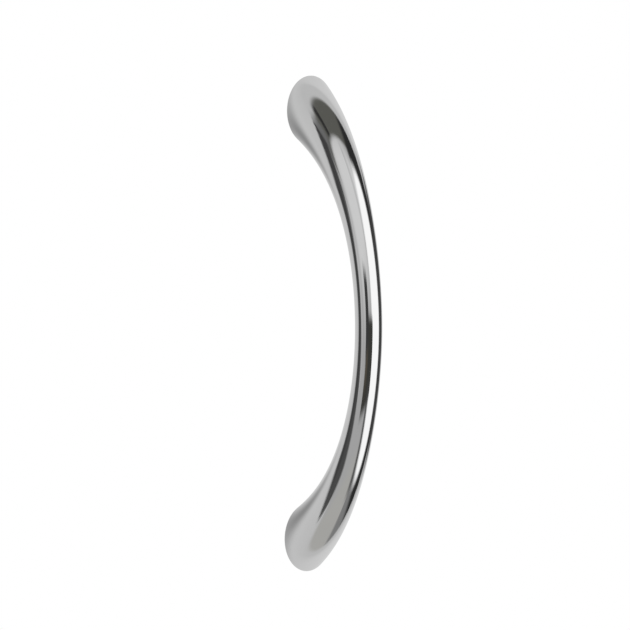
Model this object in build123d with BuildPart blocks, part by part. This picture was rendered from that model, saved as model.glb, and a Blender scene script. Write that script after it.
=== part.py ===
"""Bow handle for a cabinet door: one solid casting, screwed on from behind the door.

Frame: the door's face is the XZ plane, +Z runs up along the handle, and the handle stands out
towards -Y. The origin lies on the door's face, midway between the two screw holes.
"""

import os
from math import cos, radians, sin, tan

from build123d import *

# Bow: millimetres and degrees
hole_centres = 128.0  # between the two screw holes
projection = 34.0  # from the door's face to the outside of the crown
bar_diameter = 8.0  # round section at the crown
leg_angle = 56.0  # between the door's face and the bow's centre line where they meet
leg_pull = 27.5  # how far the centre line keeps to the leg's direction
crown_pull = 20.5  # how far the centre line keeps upright beside the crown

# Feet
foot_width = 17.2  # oval foot, across the handle, before its edge is rounded
foot_length = 20.6  # oval foot, along the handle, before its edge is rounded
rim_rounding = 0.4  # edge where a foot meets the door
swell_power = 2.7  # how late the bar swells into the feet
lean_power = 2.2  # how late the sections turn to lie flat on the door

# Screw holes, for M4 machine screws
tap_drill = 3.3  # bore that is left for the thread
hole_depth = 8.0  # full bore, from the door's face
drill_point = 118.0  # angle of the drill's point

sections_per_half = 8  # sections from the crown to each foot

half_span = hole_centres / 2
rise = projection - bar_diameter / 2

# Centre line of the upper half, from the crown to the middle of the upper foot.
with BuildLine() as upper_half:
    Bezier(
        (0, -rise, 0),
        (0, -rise, crown_pull),
        (0, -leg_pull * sin(radians(leg_angle)), half_span - leg_pull * cos(radians(leg_angle))),
        (0, 0, half_span),
    )
centre_line = upper_half.edge()


def swollen(at_crown, at_foot, share):
    """A size of the section, after a share of the way from the crown to a foot."""
    return at_crown + (at_foot - at_crown) * share**swell_power


def section_plane(station):
    """The plane of a section, from -1 at the lower foot and 0 at the crown to 1 at the upper foot."""
    share = abs(station)
    side = 1 if station >= 0 else -1
    centre = centre_line @ share
    along = centre_line % share
    lean = (90 - leg_angle) * share**lean_power
    facing = along.rotate(Axis.X, -lean)
    return Plane(
        origin=(0, centre.Y, side * centre.Z),
        x_dir=(1, 0, 0),
        z_dir=(0, side * facing.Y, facing.Z),
    )


# The handle: oval sections that follow the bow, swell towards its ends and finish flat on the door.
with BuildPart() as handle:
    for step in range(-sections_per_half, sections_per_half + 1):
        station = step / sections_per_half
        half_width = swollen(bar_diameter, foot_width, abs(station)) / 2
        half_depth = swollen(bar_diameter, foot_length, abs(station)) / 2
        with BuildSketch(section_plane(station)):
            with BuildLine():
                for quarter in (-90, 0, 90, 180):
                    EllipticalCenterArc((0, 0), half_width, half_depth, quarter, arc_size=90)
            make_face()
    loft()

    feet = handle.faces().filter_by(GeomType.PLANE)
    fillet(feet.edges(), rim_rounding)

    # Each foot has a blind hole: a bore for the thread, ending in the drilled point.
    bore = tap_drill / 2
    point_depth = bore / tan(radians(drill_point / 2))
    for height in (-half_span, half_span):
        with BuildSketch(Plane.YZ):
            with BuildLine():
                Polyline(
                    (0, height),
                    (0, height + bore),
                    (-hole_depth, height + bore),
                    (-hole_depth - point_depth, height),
                    close=True,
                )
            make_face()
        revolve(axis=Axis((0, 0, height), (0, 1, 0)), mode=Mode.SUBTRACT)

handle.part.label = "bow_handle"

os.makedirs("parts", exist_ok=True)
export_step(handle.part, "parts/bow_handle.step")
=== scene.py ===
# %% [markdown]
# # A bow handle for a cabinet door, in polished chrome
#
# The handle is one zinc casting with a bright chrome plate. A round bar arches away from the door
# and swells into two oval feet, which lie flat on the door and are screwed on from behind.
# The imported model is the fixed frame: the door's face is the XZ plane, Z runs up along the handle
# and the handle stands out towards -Y. Everything below is in metres in that frame.

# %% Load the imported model
import math

import bpy
from mathutils import Matrix, Vector


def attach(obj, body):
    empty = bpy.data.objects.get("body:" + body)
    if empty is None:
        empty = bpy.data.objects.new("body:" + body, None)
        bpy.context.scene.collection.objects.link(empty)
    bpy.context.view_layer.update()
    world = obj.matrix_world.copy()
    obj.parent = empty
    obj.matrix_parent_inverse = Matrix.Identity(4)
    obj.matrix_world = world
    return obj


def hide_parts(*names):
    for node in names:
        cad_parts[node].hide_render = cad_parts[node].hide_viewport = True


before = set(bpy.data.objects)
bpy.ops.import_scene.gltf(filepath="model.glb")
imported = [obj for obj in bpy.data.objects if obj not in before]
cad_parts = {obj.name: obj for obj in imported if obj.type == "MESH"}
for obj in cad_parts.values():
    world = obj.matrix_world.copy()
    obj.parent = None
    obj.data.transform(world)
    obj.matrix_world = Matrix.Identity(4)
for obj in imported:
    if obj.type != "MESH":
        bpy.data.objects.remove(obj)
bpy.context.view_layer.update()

# %% [markdown]
# ## Sizes
#
# The bow follows a rule, so a few sizes describe all of it: the centre line is one Bezier curve
# from the crown to each foot, and its oval sections swell with a power of the distance along it.
# They are the sizes of the solid part, in metres and radians. The rest describe the rim, the screw
# holes with their M4 thread, and how finely each part of the skin is divided.

# %% The sizes of the handle
BOW_SIZES = {
    "Hole Centres": 0.128,
    "Projection": 0.034,
    "Bar Diameter": 0.008,
    "Leg Angle": math.radians(56),
    "Leg Pull": 0.0275,
    "Crown Pull": 0.0205,
    "Foot Width": 0.0172,
    "Foot Length": 0.0206,
    "Swell Power": 2.7,
    "Lean Power": 2.2,
}
HANDLE_SIZES = {
    **BOW_SIZES,
    "Rim Rounding": 0.0004,
    "Thread Diameter": 0.004,
    "Thread Pitch": 0.0007,
    "Hole Depth": 0.008,
    "Plain End": 0.001,
    "Countersink": 0.0002,
    "Drill Point": math.radians(118),
    "Corners": 128,
    "Rows": 320,
    "Rim Rows": 8,
    "Back Rows": 8,
    "Thread Rows": 112,
}
print(len(BOW_SIZES), "sizes for the bow,", len(HANDLE_SIZES), "for the whole handle")

# %% [markdown]
# ## Formulas in node trees
#
# The handle's shape and the studio's light are both formulas, and a formula in a node tree is a
# chain of Math nodes. Adding them one by one is hard to read, so a small class does it: arithmetic
# on a `Term` adds the node and returns its result as the next `Term`.


# %% A number in a node tree
class Term:
    """A number in a node tree. Arithmetic on it adds Math nodes to the tree."""

    def __init__(self, tree, socket):
        self.tree = tree
        self.socket = socket

    def maths(self, operation, *others):
        node = self.tree.nodes.new("ShaderNodeMath")
        node.operation = operation
        for socket, value in zip(node.inputs, (self, *others)):
            feed(self.tree, socket, value)
        return Term(self.tree, node.outputs[0])

    def clipped(self):
        """The number, kept between 0 and 1."""
        return self.maths("MAXIMUM", 0.0).maths("MINIMUM", 1.0)

    def __add__(self, other):
        return self.maths("ADD", other)

    def __sub__(self, other):
        return self.maths("SUBTRACT", other)

    def __rsub__(self, other):
        return self.maths("MULTIPLY_ADD", -1.0, other)

    def __mul__(self, other):
        return self.maths("MULTIPLY", other)

    def __truediv__(self, other):
        return self.maths("DIVIDE", other)

    def __rtruediv__(self, other):
        return self.maths("POWER", -1.0) * other

    def __pow__(self, other):
        return self.maths("POWER", other)

    __radd__ = __add__
    __rmul__ = __mul__


def feed(tree, socket, value):
    """Links a socket to a Term or another socket, or sets its plain value."""
    if isinstance(value, Term):
        tree.links.new(value.socket, socket)
    elif isinstance(value, bpy.types.NodeSocket):
        tree.links.new(value, socket)
    else:
        socket.default_value = value


def add_node(tree, kind, inputs=(), **settings):
    """Adds a node with its settings, and feeds its inputs by name."""
    node = tree.nodes.new(kind)
    for name, value in settings.items():
        setattr(node, name, value)
    for name, value in dict(inputs).items():
        feed(tree, node.inputs[name], value)
    return node


print("Term adds Math nodes")

# %% [markdown]
# A few more helpers make vectors, open a new tree with named inputs, and place a group in a tree.


# %% Vectors and groups in a node tree
def vector(tree, x, y, z):
    """Three numbers as one vector socket."""
    return add_node(tree, "ShaderNodeCombineXYZ", {"X": x, "Y": y, "Z": z}).outputs[0]


def parts_of(tree, socket):
    """The X, Y and Z of a vector socket, as Terms."""
    split = add_node(tree, "ShaderNodeSeparateXYZ", {"Vector": socket})
    return [Term(tree, output) for output in split.outputs]


def new_group(name, kind, inputs, outputs):
    """A node group with named inputs and outputs, and its inputs as Terms by name."""
    tree = bpy.data.node_groups.new(name, kind)
    for title, socket_kind in outputs.items():
        tree.interface.new_socket(name=title, in_out="OUTPUT", socket_type=socket_kind)
    kinds = {int: "NodeSocketInt", float: "NodeSocketFloat", tuple: "NodeSocketVector"}
    for title, value in inputs.items():
        socket = tree.interface.new_socket(
            name=title, in_out="INPUT", socket_type=kinds[type(value)]
        )
        socket.default_value = value
    entry = tree.nodes.new("NodeGroupInput")
    given = {title: Term(tree, entry.outputs[title]) for title in inputs}
    return tree, given


def put_out(tree, **results):
    """Ends a group: each result goes to the output of that name."""
    leave = tree.nodes.new("NodeGroupOutput")
    for name, value in results.items():
        feed(tree, leave.inputs[name], value)


def use_group(tree, group, inputs):
    """Places a group in a tree and returns its output sockets."""
    kind = "GeometryNodeGroup" if tree.bl_idname == "GeometryNodeTree" else "ShaderNodeGroup"
    return add_node(tree, kind, inputs, node_tree=group).outputs


print("Groups take named inputs")

# %% [markdown]
# ## The surface of the bow
#
# On the real handle the bar is round at the crown and turns into an oval foot without a visible
# step. This group gives the point of that surface for a station (-1 at the lower foot, 0 at the
# crown, 1 at the upper foot) and an angle round the bar. Sample Curve walks along the centre line
# by length. The section leans more and more, so that at the foot it lies flat on the door.


# %% Group: a point on the bow's surface
CENTRE_LINE_STEPS = 256


def make_bow_surface():
    tree, given = new_group(
        "bow surface",
        "GeometryNodeTree",
        {"Station": 0.0, "Angle": 0.0, **BOW_SIZES},
        {"Point": "NodeSocketVector"},
    )
    half_span = given["Hole Centres"] / 2.0
    rise = given["Projection"] - given["Bar Diameter"] / 2.0
    leg_out = given["Leg Pull"] * given["Leg Angle"].maths("SINE")
    leg_up = given["Leg Pull"] * given["Leg Angle"].maths("COSINE")
    centre_line = add_node(
        tree,
        "GeometryNodeCurvePrimitiveBezierSegment",
        {
            "Resolution": CENTRE_LINE_STEPS,
            "Start": vector(tree, 0.0, 0.0 - rise, 0.0),
            "Start Handle": vector(tree, 0.0, 0.0 - rise, given["Crown Pull"]),
            "End Handle": vector(tree, 0.0, 0.0 - leg_out, half_span - leg_up),
            "End": vector(tree, 0.0, 0.0, half_span),
        },
        mode="POSITION",
    )
    share = given["Station"].maths("ABSOLUTE")
    sample = add_node(
        tree,
        "GeometryNodeSampleCurve",
        {"Curves": centre_line.outputs[0], "Factor": share},
        mode="FACTOR",
        use_all_curves=True,
    )
    lean = (math.pi / 2 - given["Leg Angle"]) * share ** given["Lean Power"]
    leaned = add_node(
        tree,
        "ShaderNodeVectorRotate",
        {"Vector": sample.outputs["Tangent"], "Angle": 0.0 - lean},
        rotation_type="X_AXIS",
    )
    swell = share ** given["Swell Power"]
    width = given["Bar Diameter"] + (given["Foot Width"] - given["Bar Diameter"]) * swell
    depth = given["Bar Diameter"] + (given["Foot Length"] - given["Bar Diameter"]) * swell
    across = width * 0.5 * given["Angle"].maths("COSINE")
    inwards = depth * 0.5 * given["Angle"].maths("SINE")
    _, centre_y, centre_z = parts_of(tree, sample.outputs["Position"])
    _, leaned_y, leaned_z = parts_of(tree, leaned.outputs[0])
    side = given["Station"].maths("SIGN")
    put_out(
        tree,
        Point=vector(
            tree, across, centre_y + inwards * leaned_z, side * (centre_z - inwards * leaned_y)
        ),
    )
    return tree


bow_surface = make_bow_surface()
print(bow_surface.name, "has", len(bow_surface.nodes), "nodes")

# %% [markdown]
# ## The rounded rim of a foot
#
# Where the swelling wall meets the door the casting has a small rounding, and chrome shows it as a
# thin line of its own. The wall comes down steeply on one side and at a slant on the other, so an
# even bevel would not do. For each angle this group finds the two points where a circle touches the
# wall and the door, and the weight that makes a Bezier through them that circle. The wall's slope
# is taken from the foot's edge and a point of the wall just above it.


# %% Group: where the rounding starts and ends
SLOPE_STEP = 0.004  # from the foot up to the point above it, in stations


def make_foot_rim():
    tree, given = new_group(
        "foot rim",
        "GeometryNodeTree",
        {"Angle": 0.0, "Rim Rounding": HANDLE_SIZES["Rim Rounding"], **BOW_SIZES},
        {
            "Trim": "NodeSocketFloat",
            "Corner": "NodeSocketVector",
            "Door End": "NodeSocketVector",
            "Weight": "NodeSocketFloat",
        },
    )
    sizes = {name: given[name] for name in BOW_SIZES}
    cosine, sine = given["Angle"].maths("COSINE"), given["Angle"].maths("SINE")
    half_width, half_length = given["Foot Width"] / 2.0, given["Foot Length"] / 2.0
    corner_x = half_width * cosine
    corner_z = given["Hole Centres"] / 2.0 - half_length * sine
    reach = ((half_length * cosine) ** 2.0 + (half_width * sine) ** 2.0).maths("SQRT")
    inward_x = 0.0 - half_length * cosine / reach
    inward_z = half_width * sine / reach
    above = use_group(
        tree, bow_surface, {"Station": 1.0 - SLOPE_STEP, "Angle": given["Angle"], **sizes}
    )
    x, y, z = parts_of(tree, above["Point"])
    run = (x - corner_x) * inward_x + (z - corner_z) * inward_z
    lift = 0.0 - y
    slope = (run * run + lift * lift).maths("SQRT")
    touch = given["Rim Rounding"] * (slope + run) / lift
    put_out(
        tree,
        Trim=touch * SLOPE_STEP / slope,
        Corner=vector(tree, corner_x, 0.0, corner_z),
        **{"Door End": vector(tree, corner_x + inward_x * touch, 0.0, corner_z + inward_z * touch)},
        Weight=((1.0 - run / slope) / 2.0).maths("SQRT"),
    )
    return tree


foot_rim = make_foot_rim()
print(foot_rim.name, "has", len(foot_rim.nodes), "nodes")

# %% [markdown]
# ## The handle as one tree
#
# An open cylinder is a good start for each part of the skin: its height and its angle are the two
# numbers that the rules need, and its seam is closed already. The body, the rim, the flat back of
# the foot and the wall of the screw hole are four such cylinders with the same number of corners,
# so their rings meet exactly. The lower foot is the upper one turned half a turn about Y, which
# keeps its thread right-handed.


# %% Open cylinders as a start
PLATED, GROUND, TAPPED = range(3)  # the finishes, by number


def open_cylinder(tree, corners, rows):
    """A cylinder with no ends, its height from -1 to 1 and its angle, as Terms."""
    made = add_node(
        tree,
        "GeometryNodeMeshCylinder",
        {"Vertices": corners, "Side Segments": rows, "Radius": 1.0, "Depth": 2.0},
        fill_type="NONE",
    )
    place = add_node(tree, "GeometryNodeInputPosition")
    x, y, z = parts_of(tree, place.outputs[0])
    return made.outputs["Mesh"], z, y.maths("ARCTAN2", x)


def moved(tree, mesh, point):
    """The mesh with its points moved to where the rule says."""
    inputs = {"Geometry": mesh, "Position": point}
    return add_node(tree, "GeometryNodeSetPosition", inputs).outputs[0]


def marked(tree, mesh, finish):
    """The mesh with a number on its faces, which says what finish they get."""
    return add_node(
        tree,
        "GeometryNodeStoreNamedAttribute",
        {"Geometry": mesh, "Name": "finish", "Value": finish},
        data_type="INT",
        domain="FACE",
    ).outputs[0]


def joined(tree, *meshes):
    """Several meshes as one."""
    node = tree.nodes.new("GeometryNodeJoinGeometry")
    for mesh in meshes:
        tree.links.new(mesh, node.inputs[0])
    return node.outputs[0]


def scaled(tree, socket, factor):
    """A vector times a number."""
    inputs = {"Vector": socket, "Scale": factor}
    return add_node(tree, "ShaderNodeVectorMath", inputs, operation="SCALE").outputs[0]


def added(tree, *sockets):
    """The sum of several vectors."""
    total = sockets[0]
    for socket in sockets[1:]:
        node = add_node(tree, "ShaderNodeVectorMath", operation="ADD")
        tree.links.new(total, node.inputs[0])
        tree.links.new(socket, node.inputs[1])
        total = node.outputs[0]
    return total


print("Each part of the skin starts as an open cylinder")

# %% [markdown]
# The body runs from rim to rim. It stops a little short of the door, by the trim that the rounding
# needs at each angle. The rim then goes round from the wall to the door on a weighted Bezier.


# %% Body and rim
def rim_at(tree, given, sizes, angle):
    """What the foot rim's group gives at an angle."""
    rounding = given["Rim Rounding"]
    return use_group(tree, foot_rim, {"Angle": angle, "Rim Rounding": rounding, **sizes})


def body_skin(tree, given, sizes):
    mesh, height, angle = open_cylinder(tree, given["Corners"], given["Rows"])
    rim = rim_at(tree, given, sizes, angle)
    station = height * (1.0 - Term(tree, rim["Trim"]))
    point = use_group(tree, bow_surface, {"Station": station, "Angle": angle, **sizes})
    return moved(tree, mesh, point["Point"])


def rim_skin(tree, given, sizes):
    mesh, height, angle = open_cylinder(tree, given["Corners"], given["Rim Rows"])
    rim = rim_at(tree, given, sizes, angle)
    wall_station = 1.0 - Term(tree, rim["Trim"])
    wall = use_group(tree, bow_surface, {"Station": wall_station, "Angle": angle, **sizes})
    turn = (height + 1.0) / 2.0
    rest = 1.0 - turn
    on_wall = rest * rest
    on_corner = 2.0 * Term(tree, rim["Weight"]) * turn * rest
    on_door = turn * turn
    whole = on_wall + on_corner + on_door
    point = added(
        tree,
        scaled(tree, wall["Point"], on_wall / whole),
        scaled(tree, rim["Corner"], on_corner / whole),
        scaled(tree, rim["Door End"], on_door / whole),
    )
    return moved(tree, mesh, point)


print("Body and rim are defined")

# %% [markdown]
# ## Foot backs and screw holes
#
# From behind, each foot is a flat ground face with a tapped M4 hole in its middle: a small
# countersink, about ten turns of thread and a drilled point. The thread is a rule too: the wall's
# radius depends on the depth and the angle, so that its groove climbs one pitch in a turn.
# A sweep along a helix would leave open ends inside the hole, and this wall has none.


# %% Foot back
def foot_back_skin(tree, given, sizes):
    mesh, height, angle = open_cylinder(tree, given["Corners"], given["Back Rows"])
    rim = rim_at(tree, given, sizes, angle)
    way = 0.5 - (((height + 1.0) / 2.0) * math.pi).maths("COSINE") / 2.0
    mouth = given["Thread Diameter"] / 2.0 + given["Countersink"]
    mouth_point = vector(
        tree,
        mouth * angle.maths("COSINE"),
        0.0,
        given["Hole Centres"] / 2.0 - mouth * angle.maths("SINE"),
    )
    point = added(tree, scaled(tree, rim["Door End"], 1.0 - way), scaled(tree, mouth_point, way))
    return marked(tree, moved(tree, mesh, point), GROUND)


print("The foot back is defined")

# %% [markdown]
# The wall of the hole starts with the countersink and ends at the drilled point. The thread has the
# flats of the standard profile, and it runs out over its last turn.

# %% Screw hole
CREST_FLAT = 0.25  # share of the pitch that stays flat between two grooves
GROOVE_FLAT = 0.125  # share of the pitch that is flat at the bottom of the groove


def screw_hole_skin(tree, given):
    mesh, height, angle = open_cylinder(tree, given["Corners"], given["Thread Rows"])
    depth = (height + 1.0) / 2.0 * given["Hole Depth"]
    groove_depth = given["Thread Pitch"] / 2.0
    bore = given["Thread Diameter"] / 2.0 - groove_depth
    turns = (depth / given["Thread Pitch"] + angle / (2 * math.pi)).maths("FRACT")
    ridge = (2.0 * turns - 1.0).maths("ABSOLUTE")
    flank = ((ridge - CREST_FLAT) / (1.0 - CREST_FLAT - GROOVE_FLAT)).clipped()
    thread_end = given["Hole Depth"] - given["Plain End"]
    runs_out = ((thread_end - depth) / given["Thread Pitch"]).clipped()
    countersink = given["Thread Diameter"] / 2.0 + given["Countersink"] - depth
    radius = (bore + groove_depth * flank * runs_out).maths("MAXIMUM", countersink)
    middle = given["Hole Centres"] / 2.0
    wall = moved(
        tree,
        mesh,
        vector(
            tree,
            radius * angle.maths("COSINE"),
            0.0 - depth,
            middle - radius * angle.maths("SINE"),
        ),
    )
    disc = add_node(
        tree,
        "GeometryNodeMeshCircle",
        {"Vertices": given["Corners"], "Radius": 1.0},
        fill_type="TRIANGLE_FAN",
    )
    place = add_node(tree, "GeometryNodeInputPosition")
    x, y, _ = parts_of(tree, place.outputs[0])
    off_axis = (x * x + y * y).maths("SQRT")
    point_depth = bore / (given["Drill Point"] / 2.0).maths("TANGENT")
    tip = moved(
        tree,
        disc.outputs["Mesh"],
        vector(
            tree,
            bore * x,
            0.0 - given["Hole Depth"] - point_depth * (1.0 - off_axis),
            middle - bore * y,
        ),
    )
    return marked(tree, joined(tree, wall, tip), TAPPED)


print("The screw hole is defined")

# %% [markdown]
# ## Finishes
#
# Chrome is a mirror, so nearly all that it shows is the room. What is its own is small: buffing
# leaves faint lines along the bar and a haze that comes and goes over some millimetres. One group
# makes those marks for the plate and for the ground and tapped faces, each with its own
# values. It reads Object coordinates, and the noise is stretched along the handle.


# %% Group: marks of polishing and grinding
CLEAR_BELOW = 0.3  # value of the cloudy noise up to which the metal is clear
HAZY_ABOVE = 0.7  # value from which it is fully hazy
LINE_SHARE = 0.5  # share of the haze that follows the lines
PER_METRE = 1000.0  # from millimetres


def marks_of(lines, stretch, haze, smooth, rough):
    """The group's inputs by their names: lines for each mm, haze in mm, and two roughnesses."""
    return {
        "Lines per mm": lines,
        "Stretch": stretch,
        "Haze Size mm": haze,
        "Smooth": smooth,
        "Rough": rough,
    }


def make_polishing_marks():
    tree, given = new_group(
        "polishing marks",
        "ShaderNodeTree",
        marks_of(lines=6.0, stretch=30.0, haze=6.0, smooth=0.03, rough=0.08),
        {"Roughness": "NodeSocketFloat", "Height": "NodeSocketFloat", "Cloud": "NodeSocketFloat"},
    )
    place = add_node(tree, "ShaderNodeTexCoord")
    x, y, z = parts_of(tree, place.outputs["Object"])
    beside = given["Lines per mm"] * PER_METRE
    along = beside / given["Stretch"]
    lines = add_node(
        tree,
        "ShaderNodeTexNoise",
        {
            "Vector": vector(tree, x * beside, y * beside, z * along),
            "Scale": 1.0,
            "Detail": 3.0,
            "Roughness": 0.6,
        },
    )
    cloud_scale = PER_METRE / given["Haze Size mm"]
    cloud = add_node(
        tree,
        "ShaderNodeTexNoise",
        {"Vector": place.outputs["Object"], "Scale": cloud_scale, "Detail": 4.0, "Roughness": 0.55},
    )
    line_value = Term(tree, lines.outputs[0])
    cloud_value = (Term(tree, cloud.outputs[0]) - CLEAR_BELOW) / (HAZY_ABOVE - CLEAR_BELOW)
    cloud_value = cloud_value.clipped()
    streaked = cloud_value * (1.0 - LINE_SHARE + LINE_SHARE * line_value)
    put_out(
        tree,
        Roughness=given["Smooth"] + (given["Rough"] - given["Smooth"]) * streaked,
        Height=line_value,
        Cloud=cloud_value,
    )
    return tree


polishing_marks = make_polishing_marks()
print(polishing_marks.name, "has", len(polishing_marks.nodes), "nodes")

# %% [markdown]
# Each finish is a metal with its own amount of those marks. The plate is buffed and nearly clear,
# the back of a foot is ground, and the hole is cut metal without a plate. The relief is far too
# fine for geometry, so it is bump.


# %% A metal finish
def cleared_tree(owner):
    """The node tree of a material or a world, with nothing in it yet."""
    owner.use_nodes = True
    owner.node_tree.nodes.clear()
    return owner.node_tree


def laid_over(tree, below, colour, mask):
    """The colour below, covered by another one where the mask is."""
    mix = add_node(tree, "ShaderNodeMix", data_type="RGBA")
    sockets = {socket.identifier: socket for socket in (*mix.inputs, *mix.outputs)}
    for name, value in (("Factor_Float", mask), ("A_Color", below), ("B_Color", colour)):
        feed(tree, sockets[name], value)
    return sockets["Result_Color"]


def metal_finish(name, colour, hazy_colour, bump_height, marks):
    """A metal whose colour, roughness and fine relief follow the polishing marks."""
    material = bpy.data.materials.new(name)
    tree = cleared_tree(material)
    made = use_group(tree, polishing_marks, marks)
    tint = laid_over(tree, (*colour, 1.0), (*hazy_colour, 1.0), made["Cloud"])
    relief = add_node(
        tree,
        "ShaderNodeBump",
        {"Strength": 1.0, "Distance": bump_height, "Height": made["Height"]},
    )
    metal = add_node(
        tree,
        "ShaderNodeBsdfPrincipled",
        {
            "Base Color": tint,
            "Metallic": 1.0,
            "Roughness": made["Roughness"],
            "Normal": relief.outputs[0],
        },
    )
    add_node(tree, "ShaderNodeOutputMaterial", {"Surface": metal.outputs[0]})
    return material


print("A metal finish is defined")

# %% Chrome, ground metal and cut metal
bright_chrome = metal_finish(
    "bright_chrome",
    colour=(0.78, 0.78, 0.78),
    hazy_colour=(0.765, 0.766, 0.767),
    bump_height=2.0e-8,
    marks=marks_of(lines=5.0, stretch=40.0, haze=7.0, smooth=0.03, rough=0.09),
)
ground_back = metal_finish(
    "ground_back",
    colour=(0.70, 0.70, 0.69),
    hazy_colour=(0.62, 0.62, 0.61),
    bump_height=1.5e-6,
    marks=marks_of(lines=9.0, stretch=25.0, haze=3.0, smooth=0.2, rough=0.42),
)
tapped_hole = metal_finish(
    "tapped_hole",
    colour=(0.60, 0.60, 0.59),
    hazy_colour=(0.50, 0.50, 0.49),
    bump_height=1.0e-6,
    marks=marks_of(lines=12.0, stretch=6.0, haze=1.0, smooth=0.22, rough=0.45),
)
print("Finishes:", bright_chrome.name, ground_back.name, tapped_hole.name)

# %% [markdown]
# ## Putting the skin together
#
# The parts are joined, their rings merged and their sharp edges marked by angle. Realize Instances
# and Set Material come last, so that the finished mesh carries its finishes with it.


# %% The handle's tree
MERGE_DISTANCE = 2e-6
SHARP_ANGLE = math.radians(32)
FINISHES = (bright_chrome, ground_back, tapped_hole)  # in the order of their numbers


def make_handle_tree():
    tree, given = new_group(
        "bow handle", "GeometryNodeTree", HANDLE_SIZES, {"Geometry": "NodeSocketGeometry"}
    )
    sizes = {name: given[name] for name in BOW_SIZES}
    upper_foot = joined(
        tree,
        marked(tree, rim_skin(tree, given, sizes), PLATED),
        foot_back_skin(tree, given, sizes),
        screw_hole_skin(tree, given),
    )
    half_turn = {"Geometry": upper_foot, "Rotation": (0.0, math.pi, 0.0)}
    lower_foot = add_node(tree, "GeometryNodeTransform", half_turn).outputs[0]
    body = marked(tree, body_skin(tree, given, sizes), PLATED)
    whole = add_node(
        tree,
        "GeometryNodeMergeByDistance",
        {"Geometry": joined(tree, body, upper_foot, lower_foot), "Distance": MERGE_DISTANCE},
    ).outputs[0]
    bend = Term(tree, add_node(tree, "GeometryNodeInputMeshEdgeAngle").outputs[0])
    whole = add_node(
        tree,
        "GeometryNodeSetShadeSmooth",
        {"Geometry": whole, "Shade Smooth": bend.maths("LESS_THAN", SHARP_ANGLE)},
        domain="EDGE",
    ).outputs[0]
    whole = add_node(tree, "GeometryNodeRealizeInstances", {"Geometry": whole}).outputs[0]
    finish = add_node(tree, "GeometryNodeInputNamedAttribute", {"Name": "finish"}, data_type="INT")
    number = Term(tree, finish.outputs[0])
    for value, material in enumerate(FINISHES):
        chosen = number.maths("GREATER_THAN", value - 0.5) if value else True
        whole = add_node(
            tree,
            "GeometryNodeSetMaterial",
            {"Geometry": whole, "Selection": chosen, "Material": material},
        ).outputs[0]
    put_out(tree, Geometry=whole)
    return tree


handle_tree = make_handle_tree()
print(handle_tree.name, "has", len(handle_tree.nodes), "nodes")

# %% [markdown]
# The tree runs once on an empty object, and its result is kept as a plain mesh. That mesh stands
# where the solid part stands and takes its place.


# %% From the tree to a plain mesh
def plain_mesh_from(tree, name, values):
    """Runs the tree on an empty object, and returns an object that holds the result as a mesh."""
    start = bpy.data.objects.new(name + "_start", bpy.data.meshes.new(name + "_start"))
    bpy.context.scene.collection.objects.link(start)
    modifier = start.modifiers.new("shape", "NODES")
    modifier.node_group = tree
    for item in tree.interface.items_tree:
        if item.in_out == "INPUT":
            modifier[item.identifier] = values[item.name]
    shaped = start.evaluated_get(bpy.context.evaluated_depsgraph_get())
    mesh = bpy.data.meshes.new_from_object(shaped)
    start.modifiers.remove(modifier)
    bpy.data.objects.remove(start)
    mesh.name = name
    mesh.attributes.remove(mesh.attributes["finish"])
    for index in reversed(range(len(mesh.materials))):
        if mesh.materials[index] is None:  # primitives start with an empty slot
            mesh.materials.pop(index=index)
    made = bpy.data.objects.new(name, mesh)
    bpy.context.scene.collection.objects.link(made)
    return made


handle = plain_mesh_from(handle_tree, "chrome_bow_handle", HANDLE_SIZES)
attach(handle, "root")
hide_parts("bow_handle")
for index, material in enumerate(handle.data.materials):
    faces = sum(face.material_index == index for face in handle.data.polygons)
    print(handle.name, "has", faces, "faces of", material.name)

# %% [markdown]
# ## Directions
#
# The camera and every light stand somewhere round the handle, so both are placed the same way:
# by the azimuth from the front (-Y), the elevation above the floor, and a turn about the line of
# sight.


# %% Directions round the handle
def facing(azimuth, elevation, turn=0.0):
    """Unit vectors towards a place round the handle, across it and up it, from degrees."""
    a, e, t = (math.radians(value) for value in (azimuth, elevation, turn))
    toward = Vector((math.sin(a) * math.cos(e), -math.cos(a) * math.cos(e), math.sin(e)))
    level = Vector((math.cos(a), math.sin(a), 0.0))
    upright = toward.cross(level)
    across = level * math.cos(t) + upright * math.sin(t)
    return toward, across, toward.cross(across)


print("The front is towards", facing(0.0, 0.0)[0][:])

# %% [markdown]
# ## Camera
#
# The photograph was taken from the front left with a long lens. The camera stands 1.245 m from the
# middle of the handle, aims a little beside it, and is turned by a third of a degree.


# %% The camera
def aim_camera(azimuth, elevation, distance, turn, aside, above):
    """A camera round the origin, aimed beside and above it by the given lengths."""
    toward, across, upward = facing(azimuth, elevation)
    place = toward * distance
    back = (place - across * aside - upward * above).normalized()
    level = (across - back * across.dot(back)).normalized()
    upright = back.cross(level)
    t = math.radians(turn)
    right = level * math.cos(t) + upright * math.sin(t)
    camera = bpy.data.objects.new("camera", bpy.data.cameras.new("camera"))
    camera.matrix_world = Matrix((right, back.cross(right), back)).transposed().to_4x4()
    camera.location = place
    return camera


camera = aim_camera(
    azimuth=-35.8, elevation=4.51, distance=1.245, turn=0.344, aside=0.0019, above=0.0028
)
camera.data.sensor_width = 36.0
camera.data.lens = 239.0
camera.data.clip_start = 0.05
camera.data.clip_end = 50.0
bpy.context.scene.collection.objects.link(camera)
bpy.context.scene.camera = camera
print("Camera at", [round(value, 3) for value in camera.location])

# %% [markdown]
# ## Soft patches of light
#
# A mirror shows what stands round it, so the studio is half of the likeness. Lamps and cards would
# work, but their edges are hard in a mirror. The studio is therefore the world's background, made
# of patches with blurred edges. There are two kinds, each a group that puts out a mask: a card
# with four straight sides, and an oval.


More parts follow.
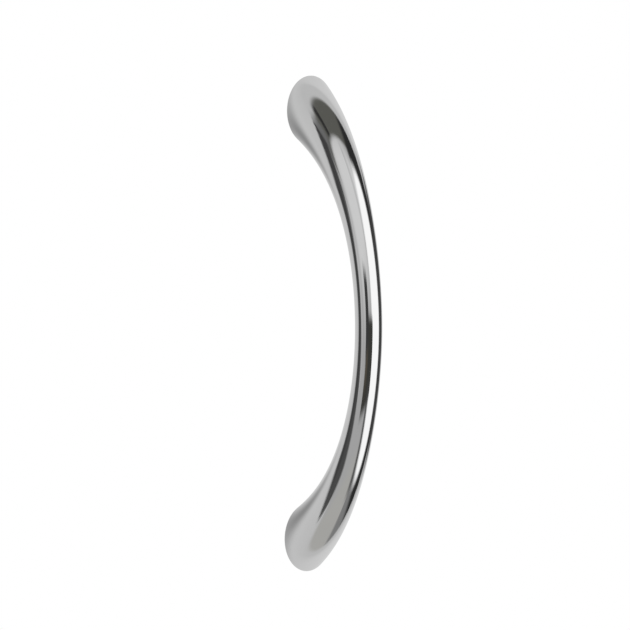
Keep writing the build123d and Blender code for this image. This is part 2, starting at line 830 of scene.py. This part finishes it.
# %% Groups: a soft card and a soft oval
AIM = {"Toward": (0.0, -1.0, 0.0), "Across": (1.0, 0.0, 0.0), "Up": (0.0, 0.0, 1.0)}
PATCH_SIZES = {"Half Width": 30.0, "Half Height": 30.0, "Blur": 10.0}  # degrees


def reach_of(tree, ray, axis):
    """How far a ray goes along an axis."""
    dot = add_node(tree, "ShaderNodeVectorMath", operation="DOT_PRODUCT")
    feed(tree, dot.inputs[0], ray)
    feed(tree, dot.inputs[1], axis)
    return Term(tree, dot.outputs["Value"])


def softly(inside, blur):
    """A mask that rises from 0 to 1 as a distance inside an edge crosses the blur's width."""
    inputs = {"Value": inside / blur + 0.5}
    ramp = add_node(inside.tree, "ShaderNodeMapRange", inputs, interpolation_type="SMOOTHSTEP")
    return Term(inside.tree, ramp.outputs[0])


def start_patch(name):
    """A group for a patch, its inputs, and how far the ray goes along each of its axes."""
    tree, given = new_group(
        name, "ShaderNodeTree", {**AIM, **PATCH_SIZES}, {"Mask": "NodeSocketFloat"}
    )
    ray = add_node(tree, "ShaderNodeTexCoord").outputs["Generated"]
    return tree, given, [reach_of(tree, ray, given[axis]) for axis in AIM]


def make_soft_card():
    tree, given, (ahead, across, up) = start_patch("soft card")
    sideways = across.maths("ARCTAN2", ahead).maths("DEGREES").maths("ABSOLUTE")
    upwards = up.maths("ARCTAN2", ahead).maths("DEGREES").maths("ABSOLUTE")
    sides = softly(given["Half Width"] - sideways, given["Blur"])
    ends = softly(given["Half Height"] - upwards, given["Blur"])
    put_out(tree, Mask=sides * ends)
    return tree


def make_soft_oval():
    tree, given, (ahead, across, up) = start_patch("soft oval")
    angle = ahead.maths("MINIMUM", 1.0).maths("MAXIMUM", -1.0).maths("ARCCOSINE")
    round_it = up.maths("ARCTAN2", across)
    wide = round_it.maths("COSINE") / given["Half Width"]
    high = round_it.maths("SINE") / given["Half Height"]
    radius = 1.0 / (wide * wide + high * high).maths("SQRT")
    put_out(tree, Mask=softly(radius - angle.maths("DEGREES"), given["Blur"]))
    return tree


soft_card = make_soft_card()
soft_oval = make_soft_oval()
print(soft_card.name, len(soft_card.nodes), "nodes;", soft_oval.name, len(soft_oval.nodes))

# %% [markdown]
# ## The studio
#
# Chrome is photographed in a pale tent with one large soft light and a few dark cards, which give
# the bar its dark lines. Here the light stands at the front right. The tent is open above, where
# the dark room shows, and the floor is pale. The pieces were set one by one to match the
# photograph.
# They are laid over one another from the far ones to the near ones. Places, half sizes, turns and
# blurs are in degrees, and the glow is a linear brightness.


# %% What stands round the handle
PLAIN = (1.0, 1.0, 1.0)
WARM = (1.0, 1.0, 0.9)
CREAM = (1.0, 0.99, 0.95)
AMBER = (1.0, 0.85, 0.65)
SURROUNDINGS = 0.6  # brightness of what lies behind the handle

IN_THE_TENT = {
    "tent top": dict(shape=soft_oval, at=(-40, 30), turn=20, half=(45, 25), blur=30, glow=0.75),
    "tent seam": dict(at=(-16, 32), turn=12, half=(3, 22), blur=8, glow=0.5),
    "floor": dict(shape=soft_oval, at=(0, -90), half=(50, 50), blur=15, glow=0.47, tint=CREAM),
}
IN_THE_ROOM = {
    "dark corner": dict(at=(-70, 50), turn=40, half=(4, 10), blur=5, glow=0.03),
    "tent": dict(
        shape=soft_oval, at=(-10, -20), half=(85, 78), blur=4, glow=0.45, holds=IN_THE_TENT
    ),
    "dim floor": dict(shape=soft_oval, at=(62, -60), half=(35, 12), blur=8, glow=0.24),
    "right curtain": dict(at=(60, 2), half=(38, 54), blur=10, glow=0.03),
    "soft light": dict(shape=soft_oval, at=(25, -2), turn=10, half=(34, 47), blur=10, glow=1.2),
}
STUDIO = {
    "room": dict(
        shape=soft_oval,
        at=(-3, -3),
        half=(87, 84),
        blur=4,
        glow=0.12,
        tint=WARM,
        holds=IN_THE_ROOM,
    ),
    "grey card": dict(at=(-85, 33), turn=-30, half=(5, 7), blur=6, glow=0.17),
    "left card": dict(at=(-116, 0), half=(14, 45), blur=8, glow=0.06),
    "upper left card": dict(at=(-100, 19), turn=-30, half=(8, 13), blur=6, glow=0.06),
    "lower left card": dict(at=(-99, -19), turn=30, half=(8, 13), blur=6, glow=0.08),
    "right card": dict(at=(85, -3), half=(20, 20), blur=10, glow=0.06),
    "front card": dict(at=(-29, -13), half=(26, 13), blur=5, glow=0.05, tint=WARM),
    "amber card": dict(at=(-45, -11), half=(7, 7), blur=10, glow=0.1, tint=AMBER),
    "narrow card": dict(at=(-48, 0), turn=5, half=(12, 10), blur=6, glow=0.05),
    "slanting card": dict(at=(-8, -37), turn=25, half=(5, 20), blur=10, glow=0.07),
}
print(len(IN_THE_ROOM), "things in the room,", len(STUDIO) - 1, "cards before it")

# %% [markdown]
# The world lays the patches over one another. A patch can hold others, which then show only inside
# its edge. Only reflections see this studio: the camera itself sees plain white behind the handle.


# %% The world
def aimed(at, turn):
    """The inputs that aim a patch at a place round the handle."""
    return dict(zip(AIM, (axis[:] for axis in facing(*at, turn))))


def glowing(tree, brightness, tint=PLAIN):
    """A colour of the given tint and brightness."""
    return scaled(tree, tint, brightness)


def with_patches(tree, below, patches):
    """Lays patches over a colour, in their order."""
    for patch in patches.values():
        mask, colour = patch_of_light(tree, **patch)
        below = laid_over(tree, below, colour, mask)
    return below


def patch_of_light(tree, at, half, blur, glow, shape=soft_card, turn=0, tint=PLAIN, holds=None):
    """The mask of a patch, and its colour with the patches that it holds."""
    sizes = dict(zip(PATCH_SIZES, (float(size) for size in (*half, blur))))
    made = use_group(tree, shape, {**aimed(at, turn), **sizes})
    return made["Mask"], with_patches(tree, glowing(tree, glow, tint), holds or {})


def make_studio():
    world = bpy.data.worlds.new("studio")
    tree = cleared_tree(world)
    around = with_patches(tree, glowing(tree, SURROUNDINGS), STUDIO)
    studio = add_node(tree, "ShaderNodeBackground", {"Color": around})
    backdrop = add_node(tree, "ShaderNodeBackground", {"Color": (*PLAIN, 1.0)})
    seen = add_node(tree, "ShaderNodeLightPath").outputs["Is Camera Ray"]
    light = tree.nodes.new("ShaderNodeMixShader")
    for socket, value in zip(light.inputs, (seen, studio.outputs[0], backdrop.outputs[0])):
        feed(tree, socket, value)
    add_node(tree, "ShaderNodeOutputWorld", {"Surface": light.outputs[0]})
    world.cycles.sampling_method = "NONE"  # soft patches need no search for the bright ones
    return world


bpy.context.scene.view_settings.view_transform = "Standard"
bpy.context.scene.world = make_studio()
print("World:", len(bpy.context.scene.world.node_tree.nodes), "nodes")

# %% [markdown]
# ## The table and the floor
#
# Two flat pieces finish the stage. Each is one face whose material glows by itself, so it needs no
# lamp, and it casts no shadow.


# %% Pieces of the stage
def flat_piece(name, corners, material):
    """A stage piece of one face, which casts no shadow."""
    mesh = bpy.data.meshes.new(name)
    mesh.from_pydata(corners, [], [range(len(corners))])
    mesh.materials.append(material)
    piece = bpy.data.objects.new(name, mesh)
    piece.visible_shadow = False
    bpy.context.scene.collection.objects.link(piece)
    return piece


def shown_where(tree, glow, mask):
    """Ends a material that glows where the mask is 1 and is clear where it is 0."""
    lit = add_node(tree, "ShaderNodeEmission", {"Color": glow})
    clear = add_node(tree, "ShaderNodeBsdfTransparent")
    cover = add_node(tree, "ShaderNodeMixShader")
    for socket, value in zip(cover.inputs, (mask, clear.outputs[0], lit.outputs[0])):
        feed(tree, socket, value)
    add_node(tree, "ShaderNodeOutputMaterial", {"Surface": cover.outputs[0]})


print("Stage pieces are flat and glow by themselves")

# %% [markdown]
# The flared feet mirror the surface that they stand on, so a pale table lies just behind the door's
# plane, where only reflections see it. Its glow is painted light: a little brighter towards the
# soft light, with painted shade beside the feet, where they would shade it. It ends softly at the
# left and at the right, and gets wider near the feet. It is open behind them, so that their backs
# get light too.

# %% The table
TABLE_DEPTH = 0.0002  # behind the door's plane
TABLE_HALF_WIDTH = 1.0
TABLE_HALF_HEIGHT = 1.5
LEFT_REACH = 0.029  # from the middle to the soft end at the left
LEFT_BLUR = 0.012
LEFT_LEAN = 0.05  # how far the left end leans outwards for each metre up
RIGHT_REACH = 0.060
RIGHT_BLUR = 0.030
WIDER_FROM = 0.040  # height above or below the middle from which the table gets wider
SHADE_ASIDE = 0.010  # from the middle of a foot to its shade, to the left and towards the crown
SHADE_HALF_WIDTH = 0.005
SHADE_HALF_HEIGHT = 0.015
SHADE_STRENGTH = 0.6
LEFT_PAINTED_LIGHT = 0.65
RIGHT_PAINTED_LIGHT = 0.80
PAINTED_LIGHT_BLUR = 0.080  # width over which the painted light changes
FADE_REACH = 0.150  # distance at which the painted light is halfway to the surroundings


def oval_square(x, z, half_width, half_height):
    """The squared distance from the middle of an oval, 1 on its edge."""
    x, z = x / half_width, z / half_height
    return x * x + z * z


def make_table_finish():
    material = bpy.data.materials.new("table")
    tree = cleared_tree(material)
    x, _, z = parts_of(tree, add_node(tree, "ShaderNodeTexCoord").outputs["Object"])
    height = z.maths("ABSOLUTE")
    wider = (height - WIDER_FROM).maths("MAXIMUM", 0.0)
    left_end = softly(x + LEFT_REACH + wider + LEFT_LEAN * z, LEFT_BLUR)
    right_end = softly(RIGHT_REACH + wider - x, RIGHT_BLUR)
    past_foot = height - BOW_SIZES["Hole Centres"] / 2
    foot = oval_square(x, past_foot, BOW_SIZES["Foot Width"] / 2, BOW_SIZES["Foot Length"] / 2)
    shade = oval_square(
        x + SHADE_ASIDE, past_foot + SHADE_ASIDE, SHADE_HALF_WIDTH, SHADE_HALF_HEIGHT
    )
    # Painted light and shade: the glow rises towards the soft light and drops in the painted shade
    # beside each foot.
    lit = 1.0 - SHADE_STRENGTH * (0.0 - shade).maths("EXPONENT")
    near = (LEFT_PAINTED_LIGHT + (RIGHT_PAINTED_LIGHT - LEFT_PAINTED_LIGHT) * softly(x, PAINTED_LIGHT_BLUR)) * lit
    fade = oval_square(x, z, FADE_REACH, FADE_REACH) + 1.0
    painted_light = (near - SURROUNDINGS) / fade + SURROUNDINGS
    outside_foot = foot.maths("GREATER_THAN", 1.0)
    shown_where(tree, glowing(tree, painted_light), left_end * right_end * outside_foot)
    return material


table_corners = ((-1, -1), (1, -1), (1, 1), (-1, 1))
table = flat_piece(
    "table",
    [(x * TABLE_HALF_WIDTH, TABLE_DEPTH, z * TABLE_HALF_HEIGHT) for x, z in table_corners],
    make_table_finish(),
)
table.visible_camera = False
print("Table:", 2 * TABLE_HALF_WIDTH, "by", 2 * TABLE_HALF_HEIGHT, "m")

# %% [markdown]
# The floor is a white disc far below, as white as the background. It shows from above only, and it
# stays out of the reflections.

# %% The floor
FLOOR_HEIGHT = -0.3
FLOOR_RADIUS = 2.0
FLOOR_CORNERS = 60


def make_floor_finish():
    material = bpy.data.materials.new("floor")
    tree = cleared_tree(material)
    below = Term(tree, add_node(tree, "ShaderNodeNewGeometry").outputs["Backfacing"])
    shown_where(tree, (*PLAIN, 1.0), 1.0 - below)
    return material


def on_floor(turn):
    """A place on the floor's edge."""
    return FLOOR_RADIUS * math.cos(turn), FLOOR_RADIUS * math.sin(turn), FLOOR_HEIGHT


floor = flat_piece(
    "floor",
    [on_floor(2 * math.pi * step / FLOOR_CORNERS) for step in range(FLOOR_CORNERS)],
    make_floor_finish(),
)
floor.visible_glossy = False
floor.visible_diffuse = False
print("Floor at", FLOOR_HEIGHT, "m")
